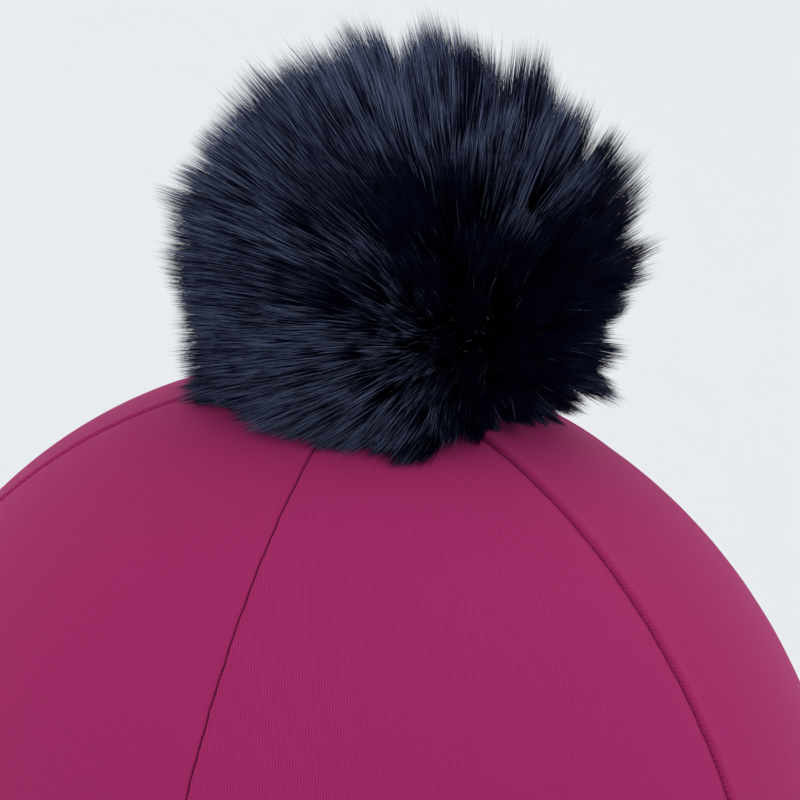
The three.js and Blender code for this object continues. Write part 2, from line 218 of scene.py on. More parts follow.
def unit(vectors):
    """Each vector over its own length."""
    return vectors / np.linalg.norm(vectors, axis=-1, keepdims=True)


def full_turn(count):
    """Angles spread evenly round a full turn."""
    return np.linspace(0, 2 * np.pi, count, endpoint=False)


def facing_out(points, faces):
    """The faces, all turned round if the closed surface's signed volume is negative."""
    a, b, c = (points[faces[:, k]] for k in (0, 1, 2))
    volume = np.einsum("ij,ij->i", a, np.cross(b, c)).sum()
    if faces.shape[1] == 4:
        d = points[faces[:, 3]]
        volume += np.einsum("ij,ij->i", a, np.cross(c, d)).sum()
    return faces if volume > 0 else faces[:, ::-1]


def add_piece(name, points, faces, material, uv=None, tones=None):
    """Puts arrays into a mesh object that rides on the cap. faces has one row for each face, and uv and
    tones have one row for each point."""
    mesh = bpy.data.meshes.new(name)
    count, sides = faces.shape
    mesh.vertices.add(len(points))
    mesh.vertices.foreach_set("co", points.astype(np.float32).ravel())
    mesh.loops.add(count * sides)
    mesh.loops.foreach_set("vertex_index", faces.astype(np.int32).ravel())
    mesh.polygons.add(count)
    mesh.polygons.foreach_set("loop_start", np.arange(0, count * sides, sides, dtype=np.int32))
    mesh.polygons.foreach_set("use_smooth", np.ones(count, dtype=bool))
    mesh.update(calc_edges=True)
    if uv is not None:
        layer = mesh.uv_layers.new(name="weave")
        layer.data.foreach_set("uv", uv[faces.ravel()].astype(np.float32).ravel())
    if tones is not None:
        layer = mesh.color_attributes.new(name="fur", type="FLOAT_COLOR", domain="POINT")
        full = np.ones((len(points), 4), dtype=np.float32)
        full[:, :3] = tones
        layer.data.foreach_set("color", full.ravel())
    mesh.materials.append(material)
    piece = bpy.data.objects.new(name, mesh)
    bpy.context.collection.objects.link(piece)
    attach(piece, BODY)
    return piece


def shell(outside, inside):
    """A closed thin form between two grids of points of one shape: the two faces and the four rims."""
    rows, columns = outside.shape[:2]
    points = np.concatenate([outside.reshape(-1, 3), inside.reshape(-1, 3)])
    index = np.arange(rows * columns).reshape(rows, columns)
    under = index + rows * columns

    def quads(grid):
        corners = (grid[:-1, :-1], grid[:-1, 1:], grid[1:, 1:], grid[1:, :-1])
        return np.stack(corners, axis=-1).reshape(-1, 4)

    def rim(edge, edge_under):
        corners = (edge[:-1], edge_under[:-1], edge_under[1:], edge[1:])
        return np.stack(corners, axis=-1)

    faces = [quads(index), quads(under)[:, ::-1]]
    faces += [rim(index[0], under[0]), rim(index[-1], under[-1])[:, ::-1]]
    faces += [rim(index[:, 0], under[:, 0])[:, ::-1], rim(index[:, -1], under[:, -1])]
    return points, facing_out(points, np.concatenate(faces))


def turned_grid(radius, level, columns):
    """A profile of radii and levels, turned round Z: one row of points for each of its points."""
    turn = full_turn(columns)
    x = radius[:, None] * np.cos(turn)
    y = radius[:, None] * np.sin(turn)
    return np.stack([x, y, np.broadcast_to(level[:, None], x.shape)], axis=-1)


def turned_quads(rows, columns):
    """The quads between neighbouring rings of a turned form, whose rings are rows of points."""
    index = np.arange(rows * columns).reshape(rows, columns)
    ahead = np.roll(index, -1, axis=1)
    return np.stack([index[:-1], ahead[:-1], ahead[1:], index[1:]], axis=-1).reshape(-1, 4)


def swept_ring(loops):
    """A closed ring through a row of closed loops, the last joined to the first."""
    count, size = loops.shape[:2]
    index = np.arange(count * size).reshape(count, size)
    ahead = np.roll(index, -1, axis=0)
    corners = (index, np.roll(index, -1, axis=1), np.roll(ahead, -1, axis=1), ahead)
    points = loops.reshape(-1, 3)
    return points, facing_out(points, np.stack(corners, axis=-1).reshape(-1, 4))


def pointed_hairs(lines, radii, spin):
    """Closed three-sided hairs. Each row of lines is a hair's centre line from its root to its tip. A ring
    of three points, turned by spin about the line, stands at each point but the last, where the sides
    meet, and a face closes the root."""
    count, steps = lines.shape[:2]
    along = unit(lines[:, -1] - lines[:, 0])
    helper = np.where(np.abs(along[:, 2:3]) < 0.9, [[0.0, 0.0, 1.0]], [[1.0, 0.0, 0.0]])
    across = unit(np.cross(helper, along))
    over = np.cross(along, across)
    turns = spin[:, None] + np.arange(3) * (2 * np.pi / 3)
    ring = across[:, None] * np.cos(turns)[..., None] + over[:, None] * np.sin(turns)[..., None]
    rings = lines[:, :-1, None] + ring[:, None] * radii[:, :, None, None]
    tip = 3 * (steps - 1)
    points = np.concatenate([rings.reshape(count, tip, 3), lines[:, -1:]], axis=1)
    faces = [[0, 2, 1]]
    for side in range(3):
        beside = (side + 1) % 3
        for step in range(steps - 2):
            a = 3 * step + side
            b = 3 * step + beside
            faces += [[a, b, b + 3], [a, b + 3, a + 3]]
        faces.append([tip - 3 + side, tip - 3 + beside, tip])
    shift = (np.arange(count) * (tip + 1))[:, None, None]
    return points.reshape(-1, 3), (np.array(faces)[None] + shift).reshape(-1, 3)


# Materials

def node_group(name, inputs, outputs):
    """A new shader node group with named float or vector sockets, and its two end nodes."""
    group = bpy.data.node_groups.new(name, "ShaderNodeTree")
    for socket, kind, default in inputs:
        made = group.interface.new_socket(name=socket, in_out="INPUT", socket_type=kind)
        if default is not None:
            made.default_value = default
    for socket, kind in outputs:
        group.interface.new_socket(name=socket, in_out="OUTPUT", socket_type=kind)
    start = group.nodes.new("NodeGroupInput")
    end = group.nodes.new("NodeGroupOutput")
    return group, start, end


def math_node(tree, operation, first, second=None, clamp=False):
    """A Math node's output. Each input is a number or another node's output."""
    node = tree.nodes.new("ShaderNodeMath")
    node.operation = operation
    node.use_clamp = clamp
    for socket, value in zip(node.inputs, (first, second)):
        if value is None:
            continue
        if isinstance(value, (int, float)):
            socket.default_value = value
        else:
            tree.links.new(value, socket)
    return node.outputs[0]


def mixed_colour(tree, share, first, second):
    """A Mix node's colour. Each colour is a triple or another node's output."""
    node = tree.nodes.new("ShaderNodeMix")
    node.data_type = "RGBA"
    for socket, value in ((node.inputs[0], share), (node.inputs[6], first), (node.inputs[7], second)):
        if isinstance(value, (int, float)):
            socket.default_value = value
        elif isinstance(value, (tuple, list)):
            socket.default_value = (*value, 1.0)
        else:
            tree.links.new(value, socket)
    return node.outputs[2]


def knit_group():
    """Ribs and stitches of a fine knit. Across the ribs a cosine makes their height, and along them a
    second cosine, bent into a V by the distance from the rib's middle, makes the stitches. The same value
    also goes out as Shade, which the knit's colour follows as painted shade in the grooves."""
    inputs = [
        ("UV", "NodeSocketVector", None),
        ("Rib Pitch", "NodeSocketFloat", 0.5 * MM),
        ("Stitch Pitch", "NodeSocketFloat", 0.6 * MM),
        ("Grain Turn", "NodeSocketFloat", 0.0),
    ]
    outputs = [("Height", "NodeSocketFloat"), ("Shade", "NodeSocketFloat")]
    group, start, end = node_group("knit", inputs, outputs)
    turned = group.nodes.new("ShaderNodeVectorRotate")
    turned.rotation_type = "Z_AXIS"
    group.links.new(start.outputs["UV"], turned.inputs["Vector"])
    group.links.new(start.outputs["Grain Turn"], turned.inputs["Angle"])
    parts = group.nodes.new("ShaderNodeSeparateXYZ")
    group.links.new(turned.outputs["Vector"], parts.inputs[0])
    across = math_node(group, "DIVIDE", parts.outputs["X"], start.outputs["Rib Pitch"])
    along = math_node(group, "DIVIDE", parts.outputs["Y"], start.outputs["Stitch Pitch"])
    rib = math_node(group, "COSINE", math_node(group, "MULTIPLY", across, 2 * math.pi))
    from_middle = math_node(group, "SUBTRACT", math_node(group, "FRACT", across), 0.5)
    slant = math_node(group, "MULTIPLY", math_node(group, "ABSOLUTE", from_middle), 0.9)
    bent = math_node(group, "ADD", along, slant)
    stitch = math_node(group, "COSINE", math_node(group, "MULTIPLY", bent, 2 * math.pi))
    rib_height = math_node(group, "MULTIPLY", rib, 0.36)
    stitch_height = math_node(group, "MULTIPLY", stitch, 0.14)
    height = math_node(group, "ADD", rib_height, stitch_height)
    level = math_node(group, "ADD", height, 0.5, clamp=True)
    group.links.new(level, end.inputs["Height"])
    group.links.new(level, end.inputs["Shade"])


def mottle_group():
    """Slow and fine noise on Object coordinates, added up to a value round one half."""
    inputs = [("Slow Scale", "NodeSocketFloat", 30.0), ("Fine Scale", "NodeSocketFloat", 900.0)]
    group, start, end = node_group("mottle", inputs, [("Value", "NodeSocketFloat")])
    place = group.nodes.new("ShaderNodeTexCoord")
    found = []
    for scale, detail in (("Slow Scale", 3), ("Fine Scale", 2)):
        noise = group.nodes.new("ShaderNodeTexNoise")
        noise.inputs["Detail"].default_value = detail
        group.links.new(place.outputs["Object"], noise.inputs["Vector"])
        group.links.new(start.outputs[scale], noise.inputs["Scale"])
        found.append(noise.outputs["Fac"])
    both = math_node(group, "MULTIPLY", math_node(group, "ADD", *found), 0.5)
    group.links.new(both, end.inputs["Value"])


def set_inputs(node, values):
    """Sets a node's inputs by their names."""
    for socket, value in values.items():
        node.inputs[socket].default_value = value


def new_material(name, finish):
    """A new material, its node tree and its shader, with the shader's inputs set by name."""
    material = bpy.data.materials.new(name)
    material.use_nodes = True
    tree = material.node_tree
    shader = tree.nodes["Principled BSDF"]
    set_inputs(shader, finish)
    return material, tree, shader


def place_group(tree, name, values):
    """A node group placed in a material, with its own input values."""
    node = tree.nodes.new("ShaderNodeGroup")
    node.node_tree = bpy.data.node_groups[name]
    set_inputs(node, values)
    return node


def place_mottle(tree, slow, fine):
    """The mottle group's value, with its two scales."""
    return place_group(tree, "mottle", {"Slow Scale": slow, "Fine Scale": fine}).outputs["Value"]


def add_bump(tree, shader, height, distance, strength=1.0):
    """Raises the surface by a height, through a Bump node that feeds the shader's normal."""
    bump = tree.nodes.new("ShaderNodeBump")
    set_inputs(bump, {"Strength": strength, "Distance": distance})
    tree.links.new(height, bump.inputs["Height"])
    tree.links.new(bump.outputs["Normal"], shader.inputs["Normal"])


def scaled_colour(colour, share):
    """A colour made darker or paler, with no part above one."""
    return tuple(min(1.0, part * share) for part in colour)


SHEEN_TINT = (1.0, 0.32, 0.66, 1.0)


def knit_material(name, colour, grain_turn):
    """Satin stretch knit: ribs in height, with painted shade in their grooves and a painted highlight on
    their tops, a mottle, and a sheen from the shader.
    """
    finish = {
        "Roughness": 0.6,
        "Specular IOR Level": 0.02,
        "Specular Tint": (1.0, 0.6, 0.85, 1.0),
        "Sheen Weight": 0.14,
        "Sheen Roughness": 0.4,
        "Sheen Tint": SHEEN_TINT,
    }
    material, tree, shader = new_material(name, finish)
    uv = tree.nodes.new("ShaderNodeUVMap")
    uv.uv_map = "weave"
    values = {"Rib Pitch": 0.5 * MM, "Stitch Pitch": 0.6 * MM, "Grain Turn": grain_turn}
    knit = place_group(tree, "knit", values)
    tree.links.new(uv.outputs["UV"], knit.inputs["UV"])
    mottle = place_mottle(tree, 26.0, 1400.0)
    light = scaled_colour(colour, 1.24)
    # The ribs' dark and pale colours follow their height: painted shade in the grooves, painted highlight on
    # the tops
    groove_shaded = mixed_colour(tree, knit.outputs["Shade"], scaled_colour(colour, 0.58), light)
    toned = mixed_colour(tree, mottle, scaled_colour(colour, 0.93), light)
    tree.links.new(mixed_colour(tree, 0.3, groove_shaded, toned), shader.inputs["Base Color"])
    uneven = math_node(tree, "MULTIPLY", mottle, 0.5)
    height = math_node(tree, "ADD", knit.outputs["Height"], uneven)
    add_bump(tree, shader, height, 0.08 * MM, strength=0.35)
    return material


def thread_material(colour):
    """Sewing thread: a fine mottle in height and colour."""
    finish = {"Roughness": 0.5, "Specular IOR Level": 0.08, "Sheen Weight": 0.06, "Sheen Tint": SHEEN_TINT}
    _, tree, shader = new_material("thread", finish)
    mottle = place_mottle(tree, 300.0, 5000.0)
    mixed = mixed_colour(tree, mottle, scaled_colour(colour, 0.7), tuple(colour))
    tree.links.new(mixed, shader.inputs["Base Color"])
    add_bump(tree, shader, mottle, 0.04 * MM, strength=0.4)


def fur_material(root, middle, tip):
    """Faux fur. The attribute fur holds how far along its hair a point is, and two tones, its hair's own
    and its clump's. The clump's tone also carries painted highlights and painted shade from the fur's forms,
    so the pale tips show where the light falls and stay dark in the hollows. High powers keep the pale tips
    short and few."""
    finish = {"Roughness": 0.4, "Specular IOR Level": 0.03, "Specular Tint": (0.42, 0.52, 1.0, 1.0)}
    _, tree, shader = new_material("navy_fur", finish)
    fur = tree.nodes.new("ShaderNodeVertexColor")
    fur.layer_name = "fur"
    parts = tree.nodes.new("ShaderNodeSeparateColor")
    tree.links.new(fur.outputs["Color"], parts.inputs[0])
    rise = math_node(tree, "POWER", parts.outputs["Red"], 4.5)
    own = math_node(tree, "POWER", parts.outputs["Green"], 8.0)
    # The clump's tone holds random tone and the painted highlights and painted shade of the fur's forms
    clump_and_painted_light = math_node(tree, "MULTIPLY", parts.outputs["Blue"], 9.5)
    share = math_node(tree, "MULTIPLY", rise, math_node(tree, "MULTIPLY", own, clump_and_painted_light), clamp=True)
    depth = math_node(tree, "POWER", parts.outputs["Red"], 2.0)
    deep = mixed_colour(tree, depth, tuple(root), tuple(middle))
    tree.links.new(mixed_colour(tree, share, deep, tuple(tip)), shader.inputs["Base Color"])


def backing_material(root):
    """The pompom's hidden backing, as dark as the fur's roots, with a fine pile in height."""
    _, tree, shader = new_material("fur_backing", {"Roughness": 0.9})
    mottle = place_mottle(tree, 120.0, 1800.0)
    mixed = mixed_colour(tree, mottle, tuple(root), scaled_colour(root, 2.5))
    tree.links.new(mixed, shader.inputs["Base Color"])
    add_bump(tree, shader, mottle, 0.5 * MM)


def floor_material(colour):
    """Plain pale card."""
    finish = {"Base Color": (*colour, 1.0), "Roughness": 0.9, "Specular IOR Level": 0.1}
    return new_material("pale_floor", finish)[0]


# The crown's form

def plan_reach(crown, angle, inset):
    """Distance from the point where the seams meet to the plan ellipse, along a plan direction: the
    positive root of the quadratic that puts the point on the ellipse."""
    width = crown.half_width - inset
    length = crown.half_length - inset
    dx = np.sin(angle) / width
    dy = -np.cos(angle) / length
    y0 = crown.seams_meet_behind / length
    a = dx**2 + dy**2
    b = dy * y0
    return (-b + np.sqrt(b**2 - a * (y0**2 - 1))) / a


def dome_height(crown, x, y, inset):
    """Height of the dome over a plan point, which is counted from the crown's centre."""
    share = (x / (crown.half_width - inset)) ** 2 + (y / (crown.half_length - inset)) ** 2
    rise = crown.top - crown.ring_height - inset
    return crown.ring_height + rise * np.sqrt(np.clip(1 - share, 0, None))


def crown_point(crown, angle, share, fall, inset):
    """A point of the crown. Above the ring it lies at a share of the way out to the plan ellipse, and
    below the ring it falls to the hem and is drawn in by a power of the fall."""
    angle, share, fall, inset = np.broadcast_arrays(angle, share, fall, inset)
    distance = plan_reach(crown, angle, inset) * share
    x = np.sin(angle) * distance
    y = crown.seams_meet_behind - np.cos(angle) * distance
    above = dome_height(crown, x, y, inset)
    drawn = 1 - crown.draw * fall**2.36
    skirt = crown.ring_height - HEM_HIGH.z - PIECE_GAP
    height = np.where(fall > 0, crown.ring_height - fall * skirt, above)
    return np.stack([x * drawn, y * drawn + crown.centre_y, height], axis=-1)


def crown_rows(crown):
    """Shares and falls of the rows from the hole down to the hem: equal turns of a sine on the dome."""
    dome_rows = 96
    skirt_rows = 12
    start = math.asin(crown.hole_radius / crown.half_length)
    share = np.sin(np.linspace(start, math.pi / 2, dome_rows))
    fall = np.linspace(0, 1, skirt_rows + 1)[1:]
    shares = np.concatenate([share, np.ones(skirt_rows)])
    falls = np.concatenate([np.zeros(dome_rows), fall])
    return shares, falls


# Distances of a panel's outer columns from its seam
EDGE_STEPS = np.array([0, 0.08, 0.18, 0.3, 0.45, 0.62, 0.9, 1.4, 2.2, 3.4, 5.2]) * MM


def seam_inset(crown, distance, edge):
    """How far the knit lies below its smooth form at a distance from a seam: a quarter circle for the
    rolled edge, less a bell curve where it stands proud, plus another for the dip beside it."""
    radius, proud = (value * MM for value in edge)
    short = np.clip(radius - distance, 0, radius)
    roll = radius - np.sqrt(radius**2 - short**2)
    proud_width = 2.6 * MM
    rise = proud * np.exp(-((distance / proud_width) ** 2))
    dip = crown.seam_dip * np.exp(-((distance / crown.seam_dip_width) ** 2))
    return roll + dip - rise


def seam_line(crown, seam, shares):
    """A seam's angle at each row: its own, with a slight waver from the sewing, from two sines."""
    row = np.arange(len(shares))
    waver = np.sin(row * 1.9 + seam) + 0.7 * np.sin(row * 0.83 + seam * 2)
    angle = math.radians(seam)
    return angle + crown.seam_waver * waver / (plan_reach(crown, angle, 0) * np.maximum(shares, 0.15))


def panel_grid(crown, seams):
    """Angles and distances from both seams for a panel's grid. Columns crowd at both seams, and draw
    together where the panel is narrow."""
    shares, falls = crown_rows(crown)
    start = seam_line(crown, seams[0], shares)
    end = seam_line(crown, seams[1], shares)
    start = start - 2 * np.pi * (seams[0] > seams[1])
    widest = 0.42 * (end - start)
    gap = crown.seam_gap / 2

    def edge_columns(seam):
        """Angles between a seam and the columns beside it, at each row."""
        reach = plan_reach(crown, seam, 0) * shares
        squeeze = np.minimum(1, widest * reach / EDGE_STEPS[-1])
        return (squeeze[:, None] * EDGE_STEPS + gap) / reach[:, None]

    left = start[:, None] + edge_columns(start)
    right = end[:, None] - edge_columns(end)
    inner_columns = 15
    blend = np.linspace(0, 1, inner_columns + 2)[1:-1]
    middle = left[:, -1:] * (1 - blend) + right[:, -1:] * blend
    angles = np.concatenate([left, middle, right[:, ::-1]], axis=1)
    reach = plan_reach(crown, angles, 0) * shares[:, None]
    from_start = np.clip((angles - start[:, None]) * reach - gap, 0, None)
    from_end = np.clip((end[:, None] - angles) * reach - gap, 0, None)
    return angles, from_start, from_end, shares[:, None], falls[:, None]


def flat_map(outside, angles, middle, crown):
    """The knit's flat pattern: across, the distance round the crown from the panel's centre line, and
    along, the distance down the panel, both in metres."""
    plan = outside[..., :2] - [0, crown.centre_y + crown.seams_meet_behind]
    radius = np.linalg.norm(plan, axis=-1)
    steps = np.linalg.norm(np.diff(outside, axis=0), axis=-1)
    along = np.concatenate([np.zeros((1, outside.shape[1])), np.cumsum(steps, axis=0)])
    centre = along[:, along.shape[1] // 2][:, None]
    return np.stack([radius * (angles - middle), np.broadcast_to(centre, radius.shape)], axis=-1)


def make_panel(crown, colours, row):
    """One sewn panel with rolled edges outside and a seam allowance inside, and its width, length and
    area as it is held. The area is the sum of its rows' widths times their steps down the dome."""
    name = f"knit_{row['node']}"
    first, last = row["seams"]
    angles, from_start, from_end, shares, falls = panel_grid(crown, row["seams"])
    inset = seam_inset(crown, from_start, SEAMS[first]["after"])
    inset = inset + seam_inset(crown, from_end, SEAMS[last]["before"])
    outside = crown_point(crown, angles, shares, falls, inset)
    distance = np.minimum(from_start, from_end)
    allowance = crown.allowance_depth / (1 + np.exp((distance / crown.allowance_width - 1) * 9))
    inside = crown_point(crown, angles, shares, falls, crown.wall + allowance)
    points, faces = shell(outside, inside)
    uv = flat_map(outside, angles, (angles[-1, 0] + angles[-1, -1]) / 2, crown)
    both = np.concatenate([uv.reshape(-1, 2)] * 2)
    material = knit_material(name, colours.knit, math.radians(row["grain_turn"]))
    piece = add_piece(name, points, faces, material, uv=both)
    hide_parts(row["node"])
    width = np.ptp(uv[..., 0], axis=1)
    length = uv[..., 1].max()
    mean_width = (width[1:] + width[:-1]) / 2
    area = float((mean_width * np.diff(uv[:, 0, 1])).sum())
    return piece, float(width.max()), float(length), area


class CAP_OT_make_crown(bpy.types.Operator):
    """Make the six sewn crown panels"""

    bl_idname = "cap.make_crown"
    bl_label = "Crown panels"

    def execute(self, context):
        crown = context.scene.cap_crown
        for row in PANELS:
            piece, width, length, area = make_panel(crown, context.scene.cap_colours, row)
        return {"FINISHED"}


# Sewing

# Half the length of a stitch that shows, as a share of the pitch
HALF_STITCH = 0.36


def stitch_bars(starts, ends, lift, radius):
    """Small closed thread bars, each a bowed five-point line with a six-sided ring at each point, drawn
    in to a point at both ends."""
    count = len(starts)
    steps = np.array([0.0, 0.12, 0.5, 0.88, 1.0])
    bow = np.array([0.0, 0.65, 1.0, 0.65, 0.0])
    swell = np.array([0.0, 0.8, 1.0, 0.8, 0.0])
    lines = starts[:, None] * (1 - steps[:, None]) + ends[:, None] * steps[:, None]
    lines = lines + lift[:, None] * bow[:, None]
    over = unit(lift)
    across = np.cross(unit(ends - starts), over)
    sides = 6
    turns = np.arange(sides) * (2 * np.pi / sides)
    ring = across[:, None] * np.cos(turns)[:, None] + over[:, None] * np.sin(turns)[:, None]
    body = lines[:, 1:-1, None] + ring[:, None] * (radius * swell[1:-1])[None, :, None, None]
    points = np.concatenate([body.reshape(count, -1, 3), lines[:, :1], lines[:, -1:]], axis=1)
    first, last = 3 * sides, 3 * sides + 1
    faces = []
    for k in range(sides):
        n = (k + 1) % sides
        faces += [[first, n, k], [last, 2 * sides + k, 2 * sides + n]]
        for base in (0, sides):
            faces += [[base + k, base + n, base + sides + n], [base + k, base + sides + n, base + sides + k]]
    size = 3 * sides + 2
    shift = (np.arange(count) * size)[:, None, None]
    points = points.reshape(-1, 3)
    faces = (np.array(faces)[None] + shift).reshape(-1, 3)
    return points, facing_out(points, faces)


def evenly_along(line, pitch):
    """Points at an even pitch along a line of points, with the line's direction at each."""
    steps = np.linalg.norm(np.diff(line, axis=0), axis=1)
    total = np.concatenate([[0], np.cumsum(steps)])
    places = np.arange(pitch / 2, total[-1], pitch)

    def points_at(distances):
        """The line's points at distances from its start."""
        return np.stack([np.interp(distances, total, line[:, k]) for k in range(3)], axis=1)

    return points_at(places), unit(points_at(places + pitch / 4) - points_at(places - pitch / 4))


def sew(name, rows, crown):
    """One piece of stitches. Each row holds the starts, the ends and the lifts of its stitches."""
    starts, ends, lifts = (np.concatenate(part) for part in zip(*rows))
    points, faces = stitch_bars(starts, ends, lifts, crown.thread_radius)
    add_piece(name, points, faces, bpy.data.materials["thread"])


def crown_normal(crown, points):
    """Outward direction at each point: over the square of each half size of the dome's ellipsoid, and
    level below the ring."""
    rise = crown.top - crown.ring_height
    squares = np.array([crown.half_width**2, crown.half_length**2, rise**2])
    outward = (points - [0, crown.centre_y, crown.ring_height]) / squares
    outward[:, 2] = np.clip(outward[:, 2], 0, None)
    return unit(outward)


class CAP_OT_make_seams(bpy.types.Operator):
    """Make the thread that shows down in the crown's seams"""

    bl_idname = "cap.make_seams"
    bl_label = "Seam thread"

    def execute(self, context):
        crown = context.scene.cap_crown
        shares, falls = crown_rows(crown)
        half = 0.45 * MM
        depth = 1.0 * MM
        rows = []
        for seam in SEAMS:
            line = crown_point(crown, seam_line(crown, seam, shares), shares, falls, depth)
            points, along = evenly_along(line, crown.stitch_length)
            normal = crown_normal(crown, points)
            slant = np.cross(along, normal) + along * 0.5
            rows.append((points - slant * half, points + slant * half, normal * crown.thread_radius))
        sew("seam_thread", rows, crown)
        return {"FINISHED"}


# Hem, peak and button

def hem_outline(crown, angle, outwards):
    """Plan point of the hem's outline, an ellipse pushed outwards, by its angle from the front."""
    width = HEM_HIGH.x + outwards
    length = (HEM_HIGH.y - HEM_LOW.y) / 2 + outwards
    return np.sin(angle) * width, crown.centre_y - np.cos(angle) * length


class CAP_OT_make_hem(bpy.types.Operator):
    """Make the folded hem with its elastic puckers and two rows of stitches"""

    bl_idname = "cap.make_hem"
    bl_label = "Hem band"

    def execute(self, context):
        crown = context.scene.cap_crown
        height = HEM_HIGH.z

        # A superellipse carried round the hem's outline, with a cosine for the puckers
        angle = full_turn(560)[:, None]
        turn = full_turn(20)[None]
        squareness = 0.24
        puckers = 140
        flat = np.sign(np.cos(turn)) * np.abs(np.cos(turn)) ** squareness
        tall = np.sign(np.sin(turn)) * np.abs(np.sin(turn)) ** squareness
        wave = np.cos(angle * puckers + 0.6 * np.sin(angle * 7))
        pucker = crown.hem_pucker * wave * np.clip(tall + 0.3, 0, 1)
        outwards = -crown.hem_thickness / 2 * (1 - flat) + pucker * (flat > 0)
        x, y = hem_outline(crown, angle, outwards)
        z = np.broadcast_to(height / 2 * (1 + tall), x.shape)
        points, faces = swept_ring(np.stack([x, y, z], axis=-1))
        round_way = angle * (crown.half_width + crown.half_length) / 2
        uv = np.stack([np.broadcast_to(round_way, x.shape), z], axis=-1).reshape(-1, 2)
        material = knit_material("knit_hem", context.scene.cap_colours.knit, 0.0)
        piece = add_piece("knit_hem_band", points, faces, material, uv=uv)
        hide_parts("hem_band")
        self.stitch(crown, height)
        return {"FINISHED"}

    def stitch(self, crown, height):
        """Two rows of stitches round the hem, below its upper edge."""
        x, y = hem_outline(crown, np.linspace(0, 2 * np.pi, 900), crown.hem_pucker * 0.7)
        half = crown.stitch_length * HALF_STITCH
        rows = []
        for below in (3.2 * MM, 6.2 * MM):
            line = np.stack([x, y, np.full(len(x), height - below)], axis=1)
            points, along = evenly_along(line, crown.stitch_length)
            outward = np.cross(along, [0, 0, 1.0])
            outward *= np.sign((outward * (points - [0, crown.centre_y, 0])).sum(axis=1, keepdims=True))
            lift = outward * crown.thread_radius * 0.8
            rows.append((points - along * half, points + along * half, lift))
        sew("hem_stitches", rows, crown)


def peak_surface(crown, across, out, side):
    """A point of the peak's top (side 1) or underside (side -1). The root follows the hem's outline, the
    reach is a power of the span left over, and the thickness ends in a half ellipse at the rim."""
    root_height = 14.2 * MM
    arch = 6.5 * MM
    slope = 0.12
    fullness = 0.6
    angle = across * crown.peak_span
    spread = crown.peak_reach - crown.peak_end_reach
    reach = crown.peak_end_reach + spread * np.clip(1 - across**2, 0, 1) ** fullness
    x, y = hem_outline(crown, angle, PIECE_GAP)
    middle = root_height - crown.peak_thickness / 2 - arch * across**2 - slope * reach * out
    rim = np.clip((reach * (1 - out)) / (crown.peak_thickness * 0.9), 0, 1)
    ends = np.clip((1 - np.abs(across)) * 40, 0, 1)
    thinned = np.sqrt(np.clip(1 - (1 - rim) ** 2, 0.02, 1))
    half = crown.peak_thickness / 2 * thinned * (0.55 + 0.45 * ends)
    point = np.broadcast_arrays(x, y - reach * out, middle + side * half)
    return np.stack(point, axis=-1)


class CAP_OT_make_peak(bpy.types.Operator):
    """Make the covered peak with stitches along its rim"""

    bl_idname = "cap.make_peak"
    bl_label = "Peak"

    def execute(self, context):
        crown = context.scene.cap_crown
        across = np.sin(np.linspace(-np.pi / 2, np.pi / 2, 97))[:, None]
        near_rim = 0.9 + 0.1 * np.sin(np.linspace(0.12, np.pi / 2, 12))
        out = np.concatenate([np.linspace(0, 0.9, 26), near_rim])[None]
        top = peak_surface(crown, across, out, 1)
        under = peak_surface(crown, across, out, -1)
        points, faces = shell(top, under)
        uv = np.concatenate([top.reshape(-1, 3)[:, :2]] * 2)
        material = knit_material("knit_peak", context.scene.cap_colours.knit, 0.0)
        piece = add_piece("knit_peak", points, faces, material, uv=uv)
        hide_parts("peak")
        self.stitch(crown)
        return {"FINISHED"}

    def stitch(self, crown):
        """Three rows of stitches inside the rim, on both faces."""
        last = 1.25
        across = np.sin(np.linspace(-last, last, 400))
        half = crown.stitch_length * HALF_STITCH
        rows = []
        for inward in (0.1, 0.2, 0.3):
            for side in (1, -1):
                line = peak_surface(crown, across, np.full(len(across), 1 - inward), side)
                points, along = evenly_along(line, crown.stitch_length)
                up = np.array([0, 0, float(side)]) * crown.thread_radius * 0.7
                lift = np.broadcast_to(up, points.shape)
                rows.append((points - along * half, points + along * half, lift))
        sew("peak_stitches", rows, crown)


class CAP_OT_make_button(bpy.types.Operator):
    """Make the covered button that closes the crown"""

    bl_idname = "cap.make_button"
    bl_label = "Covered button"

    def execute(self, context):
        crown = context.scene.cap_crown
        behind = crown.seams_meet_behind
        rise = crown.top - crown.ring_height
        height = float(dome_height(crown, 0.0, behind, 0.0))
        tilt = -math.atan(rise * behind / crown.half_length**2)
        washer_radius = 10 * MM
        sag = rise * washer_radius**2 / (2 * crown.half_width**2)
        low = -(crown.wall + sag + PIECE_GAP)

        # The cap's profile and the washer's, in millimetres, turned round the button's tilted axis
        cap = [(0, 2.5), (4, 2.4), (7, 2.05), (9.2, 1.4), (9.95, 0.9), (10, 0.55), (9.6, 0.3), (3.6, 0.3)]
        washer = [(3.6, 0), (9.6, 0), (10, -0.3), (10, -1), (9.5, -1.4), (5, -1.55), (0, -1.6)]
        profile = [(r * MM, z * MM) for r, z in cap] + [(r * MM, low + z * MM) for r, z in washer]
        radius, level = np.array(profile).T
        pole = 0.001 * MM
        grid = turned_grid(np.maximum(radius, pole), level, 48)
        turn = np.array(Matrix.Rotation(tilt, 3, "X"))
        grid = grid @ turn.T + [0, crown.centre_y + behind, height]
        points = grid.reshape(-1, 3)
        faces = facing_out(points, turned_quads(*grid.shape[:2]))
        material = knit_material("knit_button", context.scene.cap_colours.knit, 0.0)
        piece = add_piece("knit_crown_button", points, faces, material, uv=points[:, :2])
        merge_doubles(piece)
        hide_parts("crown_button")
        return {"FINISHED"}


